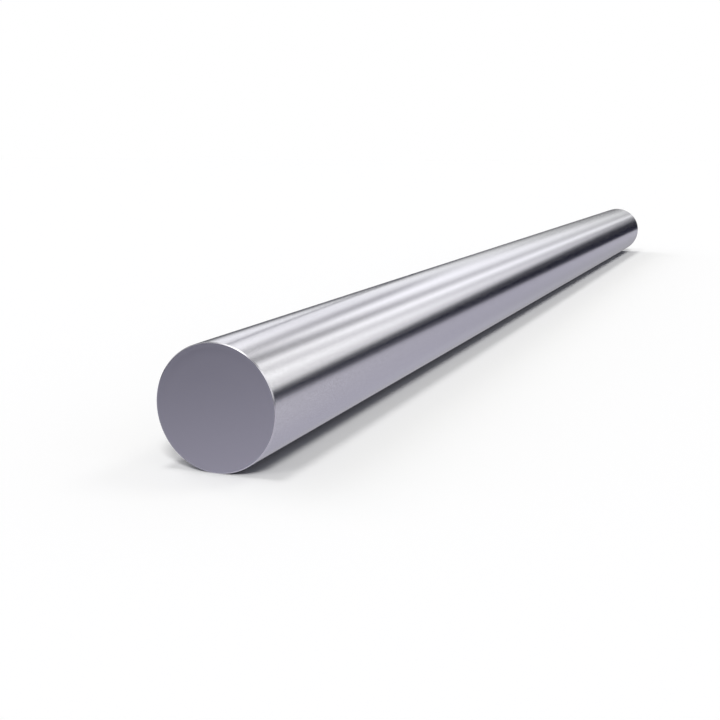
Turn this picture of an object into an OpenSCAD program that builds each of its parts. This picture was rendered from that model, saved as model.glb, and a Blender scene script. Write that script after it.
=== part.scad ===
// A round bar of bright steel: one solid piece of stock, cut square at both ends.
// It lies along X, and the origin is on its axis, half way along it.

/* [Bar] */
// Diameter of the bar
bar_d = 50; // [10:1:200]
// Length of the bar, from one end face to the other
bar_len = 1000; // [100:10:6000]

/* [Ends] */
// How far the chamfer that breaks the rim of each end reaches along the bar
rim_len = 0.4; // [0.1:0.1:2]
// Angle between that chamfer and the side of the bar
rim_angle = 45; // [30:5:60]

/* [Hidden] */
// Sides that a preview draws round the bar
$fn = 180;
bar_r = bar_d / 2;
// How far the chamfer reaches in from the side
rim_depth = rim_len * tan(rim_angle);
// Radius of the flat that is left of each end face
face_r = bar_r - rim_depth;

// Half of the bar's long section, with the axis as its left side and one end at the bottom
module half_section() {
    polygon([
        [0, 0],
        [face_r, 0],
        [bar_r, rim_len],
        [bar_r, bar_len - rim_len],
        [face_r, bar_len],
        [0, bar_len]
    ]);
}

// The half section turned once round the axis and laid along X
module round_bar() {
    color([0.62, 0.62, 0.67])
        translate([-bar_len / 2, 0, 0])
            rotate([0, 90, 0])
                rotate_extrude()
                    half_section();
}

round_bar();
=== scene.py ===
# %% [markdown]
# # A round bar of bright steel
#
# The object is one length of solid steel stock, drawn through a die until its side is straight,
# round and bright. Its ends are cut square, and each rim is broken by a fine chamfer.
# Almost everything that the eye reads on such a bar is a reflection, so this lesson spends
# as much care on what the metal mirrors as on the metal itself.
#
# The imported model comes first. It fixes where the bar lies and how large it is.

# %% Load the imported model
import math

import bmesh
import bpy
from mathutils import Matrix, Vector


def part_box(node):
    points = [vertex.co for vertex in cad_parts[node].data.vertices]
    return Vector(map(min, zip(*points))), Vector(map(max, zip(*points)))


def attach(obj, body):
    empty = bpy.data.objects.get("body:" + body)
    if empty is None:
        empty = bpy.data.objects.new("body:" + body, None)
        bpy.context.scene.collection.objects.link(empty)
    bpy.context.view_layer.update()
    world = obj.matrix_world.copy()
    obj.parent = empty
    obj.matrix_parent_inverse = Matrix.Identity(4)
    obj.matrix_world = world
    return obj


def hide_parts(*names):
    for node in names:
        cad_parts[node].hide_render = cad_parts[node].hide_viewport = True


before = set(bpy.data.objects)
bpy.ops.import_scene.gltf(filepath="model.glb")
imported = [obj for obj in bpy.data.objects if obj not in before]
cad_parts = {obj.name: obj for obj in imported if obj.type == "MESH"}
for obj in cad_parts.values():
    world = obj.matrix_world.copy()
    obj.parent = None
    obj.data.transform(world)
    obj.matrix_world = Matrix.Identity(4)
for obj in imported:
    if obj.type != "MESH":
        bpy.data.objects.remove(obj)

scene = bpy.context.scene
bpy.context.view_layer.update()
print("pieces in the packed model:", sorted(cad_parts))

# %% [markdown]
# ## The sizes of the bar
#
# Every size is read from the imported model, so that the finished piece stays inside it.
# The bar lies along X, and its axis passes through the origin. The flat of an end face
# reaches out to the chamfer, so the widest ring of points in the end plane gives its radius.

# %% Measure the bar
bar_low, bar_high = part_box("round_bar")
half_length = (bar_high.x - bar_low.x) / 2
bar_radius = (bar_high.z - bar_low.z) / 2
floor_level = bar_low.z

END_PLANE_SLACK = 1e-6
end_plane_points = [
    vertex.co
    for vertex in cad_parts["round_bar"].data.vertices
    if abs(abs(vertex.co.x) - half_length) < END_PLANE_SLACK
]
face_radius = max(math.hypot(point.y, point.z) for point in end_plane_points)
rim_width = bar_radius - face_radius
print(f"bar {2 * half_length:.3f} m long and {2 * bar_radius:.4f} m across")
print(f"each rim {rim_width * 1000:.2f} mm wide")

# %% [markdown]
# ## The camera
#
# The bar is seen from beyond its near end, a little to its right and from low down, so that
# it runs away to a third of its near width. That strong taper only comes from a camera
# that stands close by. These values were found by fitting the outline of the bar.

# %% Place the camera
CAMERA_BEFORE_END = 0.351
CAMERA_TO_RIGHT = 0.194
CAMERA_HEIGHT = 0.119
CAMERA_HEADING = math.radians(21.22)
CAMERA_DOWN = math.radians(10.78)
CAMERA_LENS = 55.11

camera_data = bpy.data.cameras.new("camera")
camera_data.lens = CAMERA_LENS
camera_data.clip_start = 0.01
camera = bpy.data.objects.new("camera", camera_data)
camera.location = (
    -half_length - CAMERA_BEFORE_END,
    -CAMERA_TO_RIGHT,
    floor_level + CAMERA_HEIGHT,
)
camera.rotation_euler = (math.radians(90) - CAMERA_DOWN, 0, CAMERA_HEADING - math.radians(90))
scene.collection.objects.link(camera)
scene.camera = camera
print("camera at", [round(value, 3) for value in camera.location])

# %% [markdown]
# ## The bar as a turned shape
#
# A cylinder primitive would have neither the chamfer nor enough sides for a clean outline.
# The way a lathe works is closer: draw half of the long section once, and spin it round the axis.
# The side is cut into short stretches, so that no face is a sliver a metre long.

# %% Spin the half section
SIDES = 256
STRETCHES = 40


def half_section():
    """Points of the section from one pole to the other, as (along the bar, out from its axis)."""
    side_end = half_length - rim_width
    side = [
        (-side_end + 2 * side_end * step / STRETCHES, bar_radius)
        for step in range(STRETCHES + 1)
    ]
    return [
        (-half_length, 0),
        (-half_length, face_radius),
        *side,
        (half_length, face_radius),
        (half_length, 0),
    ]


DOUBLES_WITHIN = 1e-7

shape = bmesh.new()
points = [shape.verts.new((along, 0, out)) for along, out in half_section()]
lines = [shape.edges.new(pair) for pair in zip(points, points[1:])]
bmesh.ops.spin(
    shape,
    geom=points + lines,
    cent=(0, 0, 0),
    axis=(1, 0, 0),
    angle=math.tau,
    steps=SIDES,
    use_merge=True,
)
bmesh.ops.remove_doubles(shape, verts=shape.verts, dist=DOUBLES_WITHIN)
bmesh.ops.recalc_face_normals(shape, faces=shape.faces)
print("faces on the bar:", len(shape.faces))

# %% [markdown]
# ## Three surfaces on one piece
#
# It is one piece of steel, but three tools have touched it: the die drew the side, the saw
# and the facing tool left the ends, and one light pass cut the rims. Each face is sorted
# by the direction that it looks in, and takes the material of the tool that made it.

# %% Sort the faces by the tool that made them
SIDE, END, RIM = range(3)
FULLY_TURNED = 0.99
NOT_TURNED = 0.01


def surface_of(face):
    """Which of the three surfaces a face belongs to, from how far it turns towards an end."""
    towards_end = abs(face.normal.x)
    if towards_end > FULLY_TURNED:
        return END
    return SIDE if towards_end < NOT_TURNED else RIM


for face in shape.faces:
    face.material_index = surface_of(face)
    face.smooth = face.material_index != END

for edge in shape.edges:
    surfaces = {face.material_index for face in edge.link_faces}
    edge.smooth = len(surfaces) == 1

bar_mesh = bpy.data.meshes.new("steel_bar")
shape.to_mesh(bar_mesh)
shape.free()
bar = bpy.data.objects.new("steel_bar", bar_mesh)
scene.collection.objects.link(bar)

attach(bar, "root")
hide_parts("round_bar")
print("steel_bar replaces round_bar and rides on root")

# %% [markdown]
# ## Small helpers for node trees
#
# A node tree is easier to read as sentences than as a list of links. These helpers make one
# node each. They take either a number or another node's output for every input.

# %% Node helpers


def feed(tree, socket, value):
    """Links a socket to another node's output, or sets its own value."""
    if isinstance(value, bpy.types.NodeSocket):
        tree.links.new(value, socket)
    else:
        socket.default_value = value


def maths(tree, operation, *values):
    """One Math node, and its output."""
    node = tree.nodes.new("ShaderNodeMath")
    node.operation = operation
    for socket, value in zip(node.inputs, values):
        feed(tree, socket, value)
    return node.outputs[0]


def ease(tree, value, start, end, at_start=0.0, at_end=1.0):
    """A smooth change from one level to another while the value goes from start to end."""
    node = tree.nodes.new("ShaderNodeMapRange")
    node.interpolation_type = "SMOOTHSTEP"
    for name, setting in (
        ("Value", value),
        ("From Min", start),
        ("From Max", end),
        ("To Min", at_start),
        ("To Max", at_end),
    ):
        feed(tree, node.inputs[name], setting)
    return node.outputs["Result"]


def mix_colours(tree, share, first, second, way="MIX"):
    """One Mix node for colours, and its output."""
    node = tree.nodes.new("ShaderNodeMix")
    node.data_type = "RGBA"
    node.blend_type = way
    feed(tree, node.inputs["Factor"], share)
    feed(tree, node.inputs["A"], first)
    feed(tree, node.inputs["B"], second)
    return node.outputs["Result"]


# %% [markdown]
# ## Tool marks, shared by the surfaces
#
# Drawn, faced and turned steel all carry fine marks that run one way: straight lines along
# the side, and rings on the ends. Stretched noise makes both, if each material first squeezes
# its coordinates across the marks. The group blends fine marks with coarse ones, and gives
# a value that serves as a mark's lightness and as its height alike.

# %% Build the tool mark group
marks = bpy.data.node_groups.new("tool_marks", "ShaderNodeTree")
marks.interface.new_socket("Vector", in_out="INPUT", socket_type="NodeSocketVector")
marks.interface.new_socket("Coarse share", in_out="INPUT", socket_type="NodeSocketFloat")
marks.interface.new_socket("Mark", in_out="OUTPUT", socket_type="NodeSocketFloat")
marks_in = marks.nodes.new("NodeGroupInput")
marks_out = marks.nodes.new("NodeGroupOutput")

FINE_SCALE, FINE_DETAIL = 1.0, 2.0
COARSE_SCALE, COARSE_DETAIL = 0.12, 3.0


def mark_noise(scale, detail):
    """Noise on the squeezed coordinates. A smaller scale gives wider marks."""
    node = marks.nodes.new("ShaderNodeTexNoise")
    marks.links.new(marks_in.outputs["Vector"], node.inputs["Vector"])
    node.inputs["Scale"].default_value = scale
    node.inputs["Detail"].default_value = detail
    return node.outputs["Fac"]


blend_marks = marks.nodes.new("ShaderNodeMix")
feed(marks, blend_marks.inputs["Factor"], marks_in.outputs["Coarse share"])
feed(marks, blend_marks.inputs["A"], mark_noise(FINE_SCALE, FINE_DETAIL))
feed(marks, blend_marks.inputs["B"], mark_noise(COARSE_SCALE, COARSE_DETAIL))
feed(marks, marks_out.inputs["Mark"], blend_marks.outputs["Result"])
print("tool_marks has", [item.name for item in marks.interface.items_tree])


def squeezed(tree, per_metre_x, per_metre_y, per_metre_z):
    """Object coordinates, scaled by themselves along each axis."""
    place = tree.nodes.new("ShaderNodeTexCoord").outputs["Object"]
    mapping = tree.nodes.new("ShaderNodeMapping")
    feed(tree, mapping.inputs["Vector"], place)
    mapping.inputs["Scale"].default_value = (per_metre_x, per_metre_y, per_metre_z)
    return mapping.outputs["Vector"]


def tool_marks(tree, vector, coarse_share):
    """The group, placed in one material with its own values."""
    node = tree.nodes.new("ShaderNodeGroup")
    node.node_tree = marks
    feed(tree, node.inputs["Vector"], vector)
    node.inputs["Coarse share"].default_value = coarse_share
    return node.outputs["Mark"]


# %% [markdown]
# ## Bare steel
#
# All three surfaces are the same bare metal, so they share a base: a metallic shader whose
# normal already comes from a Bump node. A metal gets brighter at a flat angle. Real steel has
# a dip just before that, and the grazing tint sets it, so that the far end of the bar stays
# as grey as the near end.

# %% Mix the bare steel
GRAZING_TINT = (0.62, 0.615, 0.68, 1.0)
MARK_HEIGHT = 0.0001
MARK_LOW, MARK_HIGH = 0.2, 0.8


def steel(name, bump_strength):
    """A bare metal surface with a Bump node on its Normal, ready for its own marks."""
    material = bpy.data.materials.new(name)
    material.use_nodes = True
    tree = material.node_tree
    shader = tree.nodes["Principled BSDF"]
    shader.inputs["Metallic"].default_value = 1.0
    shader.inputs["Specular Tint"].default_value = GRAZING_TINT
    bump = tree.nodes.new("ShaderNodeBump")
    bump.inputs["Strength"].default_value = bump_strength
    bump.inputs["Distance"].default_value = MARK_HEIGHT
    feed(tree, shader.inputs["Normal"], bump.outputs["Normal"])
    return material, tree, shader, bump


def roughen(tree, shader, mark, smoothest, roughest):
    """Makes the light marks rougher than the dark ones."""
    roughness = ease(tree, mark, MARK_LOW, MARK_HIGH, smoothest, roughest)
    feed(tree, shader.inputs["Roughness"], roughness)


print("bare steel dips to", GRAZING_TINT[:3], "of its brightness before the flat angle")

# %% [markdown]
# ## The drawn side
#
# Drawing leaves a mirror with a very fine grain along the bar. The grain spreads a reflection
# round the bar and hardly at all along it, which is what an anisotropic shader does once
# its tangent runs round the axis. The grain itself makes the steel a little rougher and
# smoother by turns. It is too fine to be cut into the mesh.

# %% Make the drawn side
STEEL_LIGHT = (0.485, 0.473, 0.533, 1.0)
STEEL_DARK = (0.439, 0.427, 0.482, 1.0)
GRAIN_WIDTH = 0.0003
GRAIN_LENGTH = 0.12
GRAIN_COARSE_SHARE = 0.5
SIDE_ROUGHNESS = (0.17, 0.21)
SPREAD_ROUND_THE_BAR = 0.45

drawn_side, tree, shader, bump = steel("drawn_side", bump_strength=0.12)
grain = tool_marks(
    tree,
    squeezed(tree, 1 / GRAIN_LENGTH, 1 / GRAIN_WIDTH, 1 / GRAIN_WIDTH),
    GRAIN_COARSE_SHARE,
)
roughen(tree, shader, grain, *SIDE_ROUGHNESS)

shader.inputs["Anisotropic"].default_value = SPREAD_ROUND_THE_BAR
tangent = tree.nodes.new("ShaderNodeTangent")
tangent.direction_type = "RADIAL"
tangent.axis = "X"
feed(tree, shader.inputs["Tangent"], tangent.outputs["Tangent"])
print("grain", GRAIN_WIDTH * 1000, "mm wide and", GRAIN_LENGTH * 1000, "mm long")

# %% [markdown]
# ## The specks of the polish
#
# Polishing leaves specks under half a millimetre wide. They keep the bright lines from looking
# like glass. They could be bump alone, but then they would show only where the reflection
# changes, so they tint the steel too. The bump stays weak, because a strong one turns the
# lower half of the bar to leather.

# %% Add the specks of the polish
SPECK_WIDTH = 0.0004
SPECK_LENGTH = 0.0008
SPECK_SHARE = 0.8
SPECK_DARK_UNDER, SPECK_LIGHT_OVER = 0.38, 0.62

specks = tool_marks(
    tree, squeezed(tree, 1 / SPECK_LENGTH, 1 / SPECK_WIDTH, 1 / SPECK_WIDTH), coarse_share=0.0
)
specks_and_grain = maths(
    tree,
    "ADD",
    maths(tree, "MULTIPLY", specks, SPECK_SHARE),
    maths(tree, "MULTIPLY", grain, 1 - SPECK_SHARE),
)
lightness = ease(tree, specks_and_grain, SPECK_DARK_UNDER, SPECK_LIGHT_OVER)
feed(tree, shader.inputs["Base Color"], mix_colours(tree, lightness, STEEL_DARK, STEEL_LIGHT))
feed(tree, bump.inputs["Height"], specks)
print("drawn_side has", len(tree.nodes), "nodes")

# %% [markdown]
# ## The faced ends
#
# A facing tool leaves rings so fine that the face looks like dull satin, darker than the side.
# The distance from the axis is the coordinate across those rings. It is worked out from
# the object coordinates, so the rings stay centred from any side. A little of the plain place
# across the face is mixed in, so that a ring isn't the same all the way round.

# %% Make the faced ends
FACE_LIGHT = (0.45, 0.434, 0.537, 1.0)
FACE_DARK = (0.423, 0.407, 0.505, 1.0)
FACE_ROUGHNESS = (0.33, 0.39)
RING_WIDTH = 0.00025
RING_DRIFT = 15.0
RING_COARSE_SHARE = 0.3

faced_end, tree, shader, bump = steel("faced_end", bump_strength=0.02)
place = tree.nodes.new("ShaderNodeTexCoord").outputs["Object"]
parts = tree.nodes.new("ShaderNodeSeparateXYZ")
feed(tree, parts.inputs["Vector"], place)
from_axis = maths(
    tree,
    "SQRT",
    maths(
        tree,
        "ADD",
        maths(tree, "POWER", parts.outputs["Y"], 2.0),
        maths(tree, "POWER", parts.outputs["Z"], 2.0),
    ),
)
rings = tree.nodes.new("ShaderNodeCombineXYZ")
feed(tree, rings.inputs["X"], maths(tree, "DIVIDE", from_axis, RING_WIDTH))
feed(tree, rings.inputs["Y"], maths(tree, "MULTIPLY", parts.outputs["Y"], RING_DRIFT))
feed(tree, rings.inputs["Z"], maths(tree, "MULTIPLY", parts.outputs["Z"], RING_DRIFT))
ring = tool_marks(tree, rings.outputs["Vector"], RING_COARSE_SHARE)
feed(tree, shader.inputs["Base Color"], mix_colours(tree, ring, FACE_DARK, FACE_LIGHT))
roughen(tree, shader, ring, *FACE_ROUGHNESS)
feed(tree, bump.inputs["Height"], ring)
print("faced_end has", len(tree.nodes), "nodes")

# %% [markdown]
# ## The rims
#
# The chamfer is under half a millimetre wide, but it is freshly cut and catches the light
# that neither the side nor the face can, so it draws the thin bright line round the end.
# Its marks run round the bar, so they are squeezed along it.

# %% Make the rims
RIM_LIGHT = (0.46, 0.446, 0.52, 1.0)
RIM_DARK = (0.42, 0.406, 0.475, 1.0)
RIM_ROUGHNESS = (0.2, 0.28)
RIM_MARK_WIDTH = 0.0002
RIM_MARK_LENGTH = 0.12
RIM_COARSE_SHARE = 0.3

cut_rim, tree, shader, bump = steel("cut_rim", bump_strength=0.02)
rim_mark = tool_marks(
    tree,
    squeezed(tree, 1 / RIM_MARK_WIDTH, 1 / RIM_MARK_LENGTH, 1 / RIM_MARK_LENGTH),
    RIM_COARSE_SHARE,
)
feed(tree, shader.inputs["Base Color"], mix_colours(tree, rim_mark, RIM_DARK, RIM_LIGHT))
roughen(tree, shader, rim_mark, *RIM_ROUGHNESS)
feed(tree, bump.inputs["Height"], rim_mark)

for material in (drawn_side, faced_end, cut_rim):
    bar_mesh.materials.append(material)
print("materials on the bar:", [material.name for material in bar_mesh.materials])

# %% [markdown]
# ## The floor
#
# The floor is a plain white sheet that keeps the bar's shadow. The metal doesn't mirror this
# sheet. The room that is built below has a pale floor of its own, with a soft shade under
# the bar, and that is the one that shows in the steel.

# %% Lay the floor
FLOOR_REACH = 12.0
FLOOR_WHITE = (1.0, 1.0, 1.0, 1.0)

ground = bmesh.new()
bmesh.ops.create_grid(ground, x_segments=1, y_segments=1, size=FLOOR_REACH)
bmesh.ops.translate(ground, vec=(0, 0, floor_level), verts=ground.verts)
floor_mesh = bpy.data.meshes.new("floor")
ground.to_mesh(floor_mesh)
ground.free()
floor = bpy.data.objects.new("floor", floor_mesh)
scene.collection.objects.link(floor)
floor.visible_glossy = False

floor_white = bpy.data.materials.new("floor_white")
floor_white.use_nodes = True
tree = floor_white.node_tree
tree.nodes.remove(tree.nodes["Principled BSDF"])
matt = tree.nodes.new("ShaderNodeBsdfDiffuse")
matt.inputs["Color"].default_value = FLOOR_WHITE
feed(tree, tree.nodes["Material Output"].inputs["Surface"], matt.outputs["BSDF"])
floor_mesh.materials.append(floor_white)
print("floor at", round(floor_level, 4), "m")

# %% [markdown]
# ## The lamps
#
# The shade on the floor tells where the light comes from. The dark strip under the belly has
# a clean edge all along the bar, so the strongest lamp stands high at the right. It stands
# behind the camera too, because no shade falls that way. A lamp overhead leaves the grey
# strip next to the dark one, and a wide one at the left leaves the pale shade outside that.
# Two weak lamps even out the shade at the ends. A sun lamp with a wide disc gives such an
# even soft light without a hot spot. The metal doesn't mirror these lamps, because the
# room's own light panels stand in their place.

# %% Hang the lamps
OPEN_FLOOR = math.pi


def soft_lamp(name, bearing, height, width, share):
    """A soft lamp in the direction that a bearing and a height give, in degrees. The bearing
    goes from the far end of the bar towards its right. The share is how much of the open
    floor's light the lamp gives."""
    heading, rise = math.radians(bearing), math.radians(height)
    towards_lamp = Vector((
        math.cos(rise) * math.cos(heading),
        -math.cos(rise) * math.sin(heading),
        math.sin(rise),
    ))
    lamp_data = bpy.data.lights.new(name, "SUN")
    lamp_data.energy = share * OPEN_FLOOR / math.sin(rise)
    lamp_data.angle = math.radians(width)
    lamp = bpy.data.objects.new(name, lamp_data)
    lamp.rotation_mode = "QUATERNION"
    lamp.rotation_quaternion = towards_lamp.to_track_quat("Z", "Y")
    lamp.visible_glossy = False
    scene.collection.objects.link(lamp)


soft_lamp("lamp_front_right", bearing=155, height=40.2, width=13, share=0.325)
soft_lamp("lamp_far_right", bearing=39, height=50, width=20, share=0.05)
soft_lamp("lamp_front_high", bearing=-173, height=46.5, width=12.6, share=0.073)
soft_lamp("lamp_overhead", bearing=-95, height=84, width=13, share=0.207)
soft_lamp("lamp_left", bearing=-70, height=44, width=30, share=0.076)

# %% [markdown]
# ## The room that the metal mirrors
#
# A polished bar is a picture of its room. A world shader can hold that room by direction
# alone, so that the bar mirrors the same room along its whole length. Two angles name
# a direction: how far round the bar it lies, from the right-hand horizon over the top, and
# how far it is off the line of the bar. The elevation over the horizon is a third, for what
# goes round the room at one height.

# %% Name the directions of the room
FULL_TURN = 360.0
STRAIGHT_DOWN = -90.0

world = bpy.data.worlds.new("studio")
scene.world = world
world.use_nodes = True
world.cycles.sampling_method = "NONE"
tree = world.node_tree
background = tree.nodes["Background"]

direction = tree.nodes.new("ShaderNodeTexCoord").outputs["Generated"]
aim = tree.nodes.new("ShaderNodeSeparateXYZ")
feed(tree, aim.inputs["Vector"], direction)
along, left, up = (aim.outputs[axis] for axis in "XYZ")
to_right = maths(tree, "MULTIPLY", left, -1.0)
half_turn = maths(tree, "DEGREES", maths(tree, "ARCTAN2", up, to_right))
past_down = maths(tree, "LESS_THAN", half_turn, STRAIGHT_DOWN)
round_bar = maths(tree, "ADD", half_turn, maths(tree, "MULTIPLY", past_down, FULL_TURN))
off_line = maths(tree, "DEGREES", maths(tree, "ARCCOSINE", along))
elevation = maths(tree, "DEGREES", maths(tree, "ARCSINE", up))


def between(value, rises, falls):
    """1 while the value is inside a range and 0 outside it, with soft ends."""
    return maths(tree, "MULTIPLY", ease(tree, value, *rises), ease(tree, value, *falls, 1.0, 0.0))


def dimmed(light, level):
    """The light, times a level."""
    return maths(tree, "MULTIPLY", light, level)


print("directions take", len(tree.nodes), "nodes")

# %% [markdown]
# ### The ceiling
#
# Overhead hangs a lit ceiling. It is brightest on the right, where the broad highlight along
# the bar comes from. Behind the camera it gives half of that, which shows only in the face
# of the near end and in views from the far end.

# %% Light the ceiling
CEILING = [
    # angle round the bar, brightness
    (30, 1.69),
    (60, 5.0),
    (95, 3.03),
    (130, 2.03),
    (165, 2.43),
]
# degrees off the line of the bar, from and to, and the levels there
OVER_THE_NEAR_END = (23, 29, 1.0, 0.97)
BEHIND_THE_CAMERA = (110, 150, 1.0, 0.5)


def ceiling_brightness(rows):
    """Goes evenly from each row's brightness to the next one's."""
    (start, before), *others = rows
    level = before
    for angle, brightness in others:
        step = tree.nodes.new("ShaderNodeMapRange")
        feed(tree, step.inputs["Value"], round_bar)
        feed(tree, step.inputs["From Min"], start)
        feed(tree, step.inputs["From Max"], angle)
        feed(tree, step.inputs["To Max"], brightness - before)
        level = maths(tree, "ADD", level, step.outputs["Result"])
        start, before = angle, brightness
    return level


light = ceiling_brightness(CEILING)
light = dimmed(light, ease(tree, off_line, *OVER_THE_NEAR_END))
light = dimmed(light, ease(tree, off_line, *BEHIND_THE_CAMERA))
print("the ceiling is lit in", len(CEILING), "steps")

# %% [markdown]
# ### The gaps between the panels
#
# The gaps between the ceiling's panels run beside the bar, and they are the soft grey lines
# along the top of the metal. They aren't quite parallel to it, so each one drifts round
# the bar, and some fade out on the way.

# %% Leave gaps between the panels
GAPS = [
    # angle round the bar at 20 degrees off its line, drift per degree off the line, half width,
    # and its depth at two angles off the line: (angle, depth, angle, depth)
    (52.5, 0.08, 19.6, (12, 0.6, 28, 0.71)),
    (78.3, -0.2, 20.5, (13, 0.64, 27, 0.92)),
    (118.2, -2.09, 17.6, (17, 0.0, 21, 0.68)),
    (164.5, -3.17, 5.0, (18, 0.0, 22, 0.97)),
    (130.6, 0.49, 5.4, (13, 0.97, 16, 0.0)),
]
GAP_GIVEN_AT = 20.0
DRIFT_ENDS_AT = 90.0
drift_from = maths(
    tree, "SUBTRACT", maths(tree, "MINIMUM", off_line, DRIFT_ENDS_AT), GAP_GIVEN_AT
)


def gap(middle, drift, half_width, depths):
    """How much of the light one gap leaves, where 1 is all of it."""
    shift = maths(tree, "MULTIPLY", drift_from, drift)
    off_middle = maths(
        tree, "ABSOLUTE", maths(tree, "SUBTRACT", round_bar, maths(tree, "ADD", shift, middle))
    )
    far_angle, far_depth, near_angle, near_depth = depths
    depth = ease(tree, off_line, far_angle, near_angle, far_depth, near_depth)
    taken = maths(tree, "MULTIPLY", ease(tree, off_middle, 0.0, half_width, 1.0, 0.0), depth)
    return maths(tree, "SUBTRACT", 1.0, taken)


for row in GAPS:
    light = dimmed(light, gap(*row))
print("gaps:", len(GAPS))

# %% [markdown]
# ### The dark horizon
#
# Low round the horizon the room is unlit, and that is the dark band along the side of the
# bar. Its upper edge is sharp on the right and soft on the left. Behind the camera the band
# is thinner, or else a view from the far end would show little but black.

# %% Darken the horizon
HORIZON_TOP = (6.55, 6.97)
HORIZON_BLUR = (1.01, 4.93)
TOP_BEHIND = 0.3
BLUR_BEHIND = 0.5
BAND_THINS = (115, 150)
SIDES_MEET = 0.1


def right_or_left(pair, share_behind):
    """A value that goes from the right side's to the left side's, and to a share of itself
    behind the camera."""
    value = ease(tree, left, -SIDES_MEET, SIDES_MEET, *pair)
    return maths(tree, "MULTIPLY", value, ease(tree, off_line, *BAND_THINS, 1.0, share_behind))


top_edge = right_or_left(HORIZON_TOP, TOP_BEHIND)
blur = right_or_left(HORIZON_BLUR, BLUR_BEHIND)
band_from = maths(tree, "SUBTRACT", top_edge, blur)
band_to = maths(tree, "ADD", top_edge, blur)
light = dimmed(light, ease(tree, elevation, band_from, band_to))
print("the dark band ends", HORIZON_TOP, "degrees up, right and left")

# %% [markdown]
# ### The dim wall and the dark corner
#
# The wall at the left is dim, and so is the corner behind the camera that the near end's face
# mirrors. That corner is why the face is a darker grey than the side. What is left where
# no light reaches is a trace of blue.

# %% Dim the left wall and the corner behind the camera
WALL_ROUND_THE_BAR = (95, 125)
WALL_OFF_THE_LINE = ((38, 58), (110, 140))
WALL_LEVEL = 0.3
CORNER = Vector((-0.79, 0.58, 0.06)).normalized()
CORNER_OUTSIDE, CORNER_INSIDE = 0.8, 0.95
CORNER_LEVEL = 0.02
CEILING_WARM = (1.0, 1.018, 0.905, 1.0)
UNLIT = (0.002, 0.004, 0.027, 1.0)

on_the_left = ease(tree, round_bar, *WALL_ROUND_THE_BAR)
dim_wall = maths(tree, "MULTIPLY", on_the_left, between(off_line, *WALL_OFF_THE_LINE))
light = dimmed(light, ease(tree, dim_wall, 0.0, 1.0, 1.0, WALL_LEVEL))

towards_corner = tree.nodes.new("ShaderNodeVectorMath")
towards_corner.operation = "DOT_PRODUCT"
feed(tree, towards_corner.inputs[0], direction)
feed(tree, towards_corner.inputs[1], CORNER)
corner = ease(tree, towards_corner.outputs["Value"], CORNER_OUTSIDE, CORNER_INSIDE)
light = dimmed(light, ease(tree, corner, 0.0, 1.0, 1.0, CORNER_LEVEL))

warm_light = mix_colours(tree, 1.0, CEILING_WARM, light, "MULTIPLY")
ceiling = mix_colours(tree, 1.0, warm_light, UNLIT, "ADD")
print("the corner keeps", CORNER_LEVEL, "of its light")

# %% [markdown]
# ### The floor in the room
#
# Below the horizon lies the pale floor, the flat grey of the lower half of the bar. Two shades
# lie on it near the line of the bar: a full one beyond the bar, which edges its upper
# outline, and a weaker one under its belly.

# %% Lay the pale floor below
FLOOR_SEEN = (0.97, 0.97, 0.97, 1.0)
FLOOR_EDGE_LOW = (-2.86, -4.32, -18.0)
FLOOR_EDGE_HIGH = (-2.56, -2.47, -13.0)
EDGE_MOVES = (10, 30)
BEYOND_THE_BAR = ((160, 180), (212, 244))
UNDER_THE_BAR = ((160, 180), (245, 270))
BELLY_SHADE = (12, 30, 0.32, 0.14)
SHADE_ENDS = (32, 45)


def floor_edge(edges):
    """An edge of the floor that moves from far along the bar, past its near end, to the
    dark corner behind the camera."""
    far, near, in_corner = edges
    return ease(tree, corner, 0.0, 1.0, ease(tree, off_line, *EDGE_MOVES, far, near), in_corner)


below = ease(tree, elevation, floor_edge(FLOOR_EDGE_LOW), floor_edge(FLOOR_EDGE_HIGH), 1.0, 0.0)
beyond_the_bar = between(round_bar, *BEYOND_THE_BAR)
under_the_bar = between(round_bar, *UNDER_THE_BAR)
under_the_bar = dimmed(under_the_bar, ease(tree, off_line, *BELLY_SHADE))
near_the_line = ease(tree, off_line, *SHADE_ENDS, 1.0, 0.0)
shade = dimmed(near_the_line, maths(tree, "MAXIMUM", beyond_the_bar, under_the_bar))
open_floor = maths(tree, "SUBTRACT", 1.0, shade)
pale_floor = mix_colours(tree, 1.0, FLOOR_SEEN, open_floor, "MULTIPLY")
room = mix_colours(tree, below, ceiling, pale_floor)
print("the floor that the metal shows:", FLOOR_SEEN[0])

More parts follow.
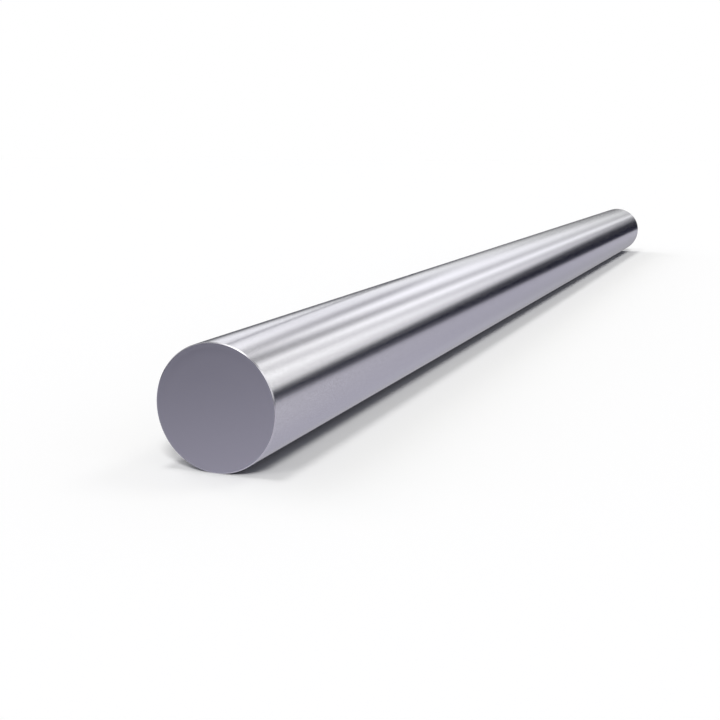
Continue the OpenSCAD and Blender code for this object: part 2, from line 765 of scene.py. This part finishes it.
# %% [markdown]
# ### The far end of the room
#
# The far end of the bar is darker than the near end, because it mirrors the far end of the
# room, where less light reaches. Only the open floor at the right stays lit.

# %% Let the far end of the room fall off
FALL_FROM = 3.0
FALL_TO = 22.1
FALL_LEVEL = 0.55
OPEN_ON_THE_RIGHT = ((-80, -30), (-8, 8))

fall = ease(tree, off_line, FALL_FROM, FALL_TO, FALL_LEVEL, 1.0)
open_on_the_right = between(round_bar, *OPEN_ON_THE_RIGHT)
kept = maths(tree, "MULTIPLY", open_on_the_right, maths(tree, "SUBTRACT", 1.0, fall))
room = mix_colours(tree, 1.0, room, maths(tree, "ADD", fall, kept), "MULTIPLY")
print("far end of the room at", FALL_LEVEL)

# %% [markdown]
# ### What each ray sees
#
# The camera sees plain white behind the bar. A ray that the metal has mirrored straight from
# the camera sees the room. All others see a dim sky, bluish when it comes from low down,
# which only softens the shade on the floor.

# %% Show each ray its part of the room
BACKDROP_WHITE = (1.0, 1.0, 1.0, 1.0)
SKY_LOW = (0.38, 0.388, 0.448, 1.0)
SKY_HIGH = (0.165, 0.158, 0.11, 1.0)
SKY_CHANGES = (30, 58)
SKY_STARTS = (-0.5, 0.0)

rays = tree.nodes.new("ShaderNodeLightPath")
sky = mix_colours(tree, ease(tree, elevation, *SKY_CHANGES), SKY_LOW, SKY_HIGH)
sky = mix_colours(tree, 1.0, sky, ease(tree, elevation, *SKY_STARTS), "MULTIPLY")
no_floor_before = maths(tree, "LESS_THAN", rays.outputs["Diffuse Depth"], 0.5)
straight_mirror = maths(tree, "MULTIPLY", rays.outputs["Is Glossy Ray"], no_floor_before)
seen = mix_colours(tree, straight_mirror, sky, room)
seen = mix_colours(tree, rays.outputs["Is Camera Ray"], seen, BACKDROP_WHITE)
feed(tree, background.inputs["Color"], seen)
print("the room is made of", len(tree.nodes), "nodes")

# %% [markdown]
# ## Finish
#
# The view transform is plain, so that a colour renders as it is written.

# %% Finish
scene.view_settings.view_transform = "Standard"
